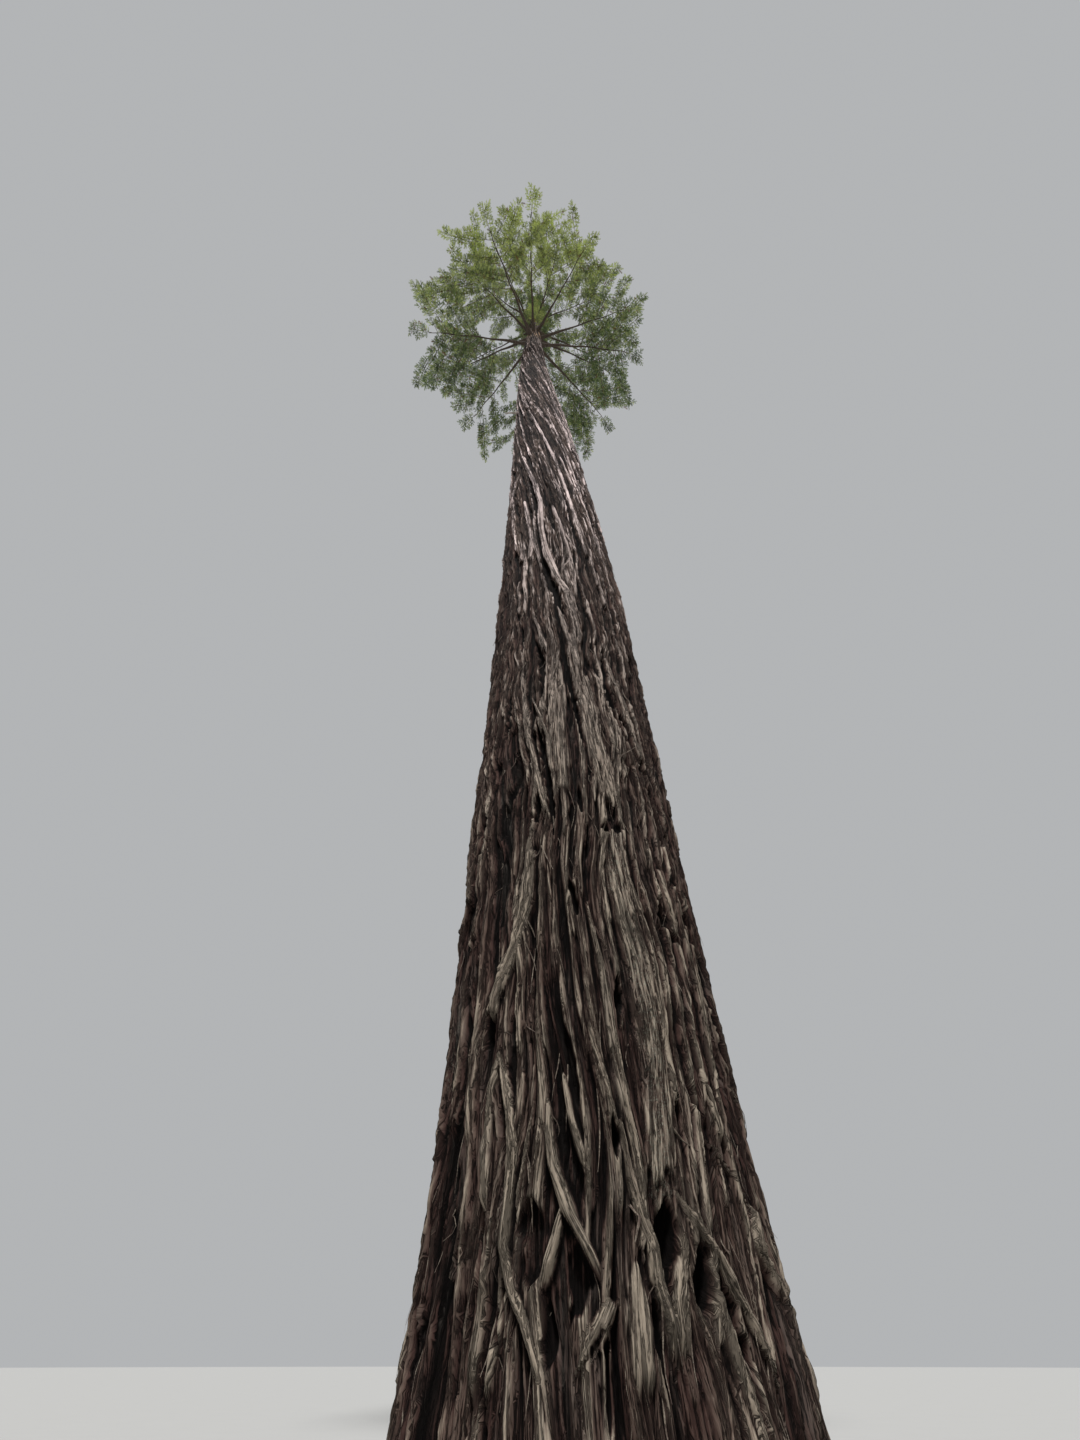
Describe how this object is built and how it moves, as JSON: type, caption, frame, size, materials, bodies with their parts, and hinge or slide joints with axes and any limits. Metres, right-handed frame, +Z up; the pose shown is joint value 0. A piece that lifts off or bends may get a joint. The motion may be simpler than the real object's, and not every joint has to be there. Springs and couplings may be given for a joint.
{
  "type": "redwood tree",
  "caption": "Tall straight redwood with furrowed bark, a flared foot, a long clean trunk and a narrow crown of bare boughs with open masses of needles.",
  "frame": {"origin": "centre of the flat cut under the trunk, at ground level", "axes": "+Z up the trunk, -Y towards the picture's viewer, +X to the viewer's right"},
  "size_m": [7.791, 8.0237, 40],
  "materials": {
    "bark": "deeply furrowed, fibrous, dry",
    "limbs": "rough dark bark",
    "dead_wood": "weathered, dry",
    "needles": "matt green needles"
  },
  "bodies": {
    "root": {"trunk": "bark", "dead_stub": "dead_wood", "bough_01": "limbs", "bough_02": "limbs", "bough_03": "limbs", "bough_04": "limbs", "bough_05": "limbs", "bough_06": "limbs", "bough_07": "limbs", "bough_08": "limbs", "bough_09": "limbs", "bough_10": "limbs", "bough_11": "limbs", "bough_12": "limbs", "bough_13": "limbs", "bough_14": "limbs", "bough_15": "limbs", "bough_16": "limbs", "bough_17": "limbs", "bough_18": "limbs", "bough_19": "limbs", "bough_20": "limbs", "bough_21": "limbs", "bough_22": "limbs", "bough_23": "limbs", "bough_24": "limbs", "bough_25": "limbs", "foliage_01": "needles", "foliage_02": "needles", "foliage_03": "needles", "foliage_04": "needles", "foliage_05": "needles", "foliage_06": "needles", "foliage_07": "needles", "foliage_08": "needles", "foliage_09": "needles", "foliage_10": "needles", "foliage_11": "needles", "foliage_12": "needles", "foliage_13": "needles", "foliage_14": "needles", "foliage_15": "needles", "foliage_16": "needles", "foliage_17": "needles", "foliage_18": "needles", "foliage_19": "needles", "foliage_20": "needles", "foliage_21": "needles", "foliage_22": "needles", "foliage_23": "needles", "foliage_24": "needles", "foliage_25": "needles", "foliage_26": "needles", "foliage_27": "needles", "foliage_28": "needles", "foliage_29": "needles", "foliage_30": "needles", "foliage_31": "needles", "foliage_32": "needles", "crown_tip": "needles"}
  },
  "joints": []
}
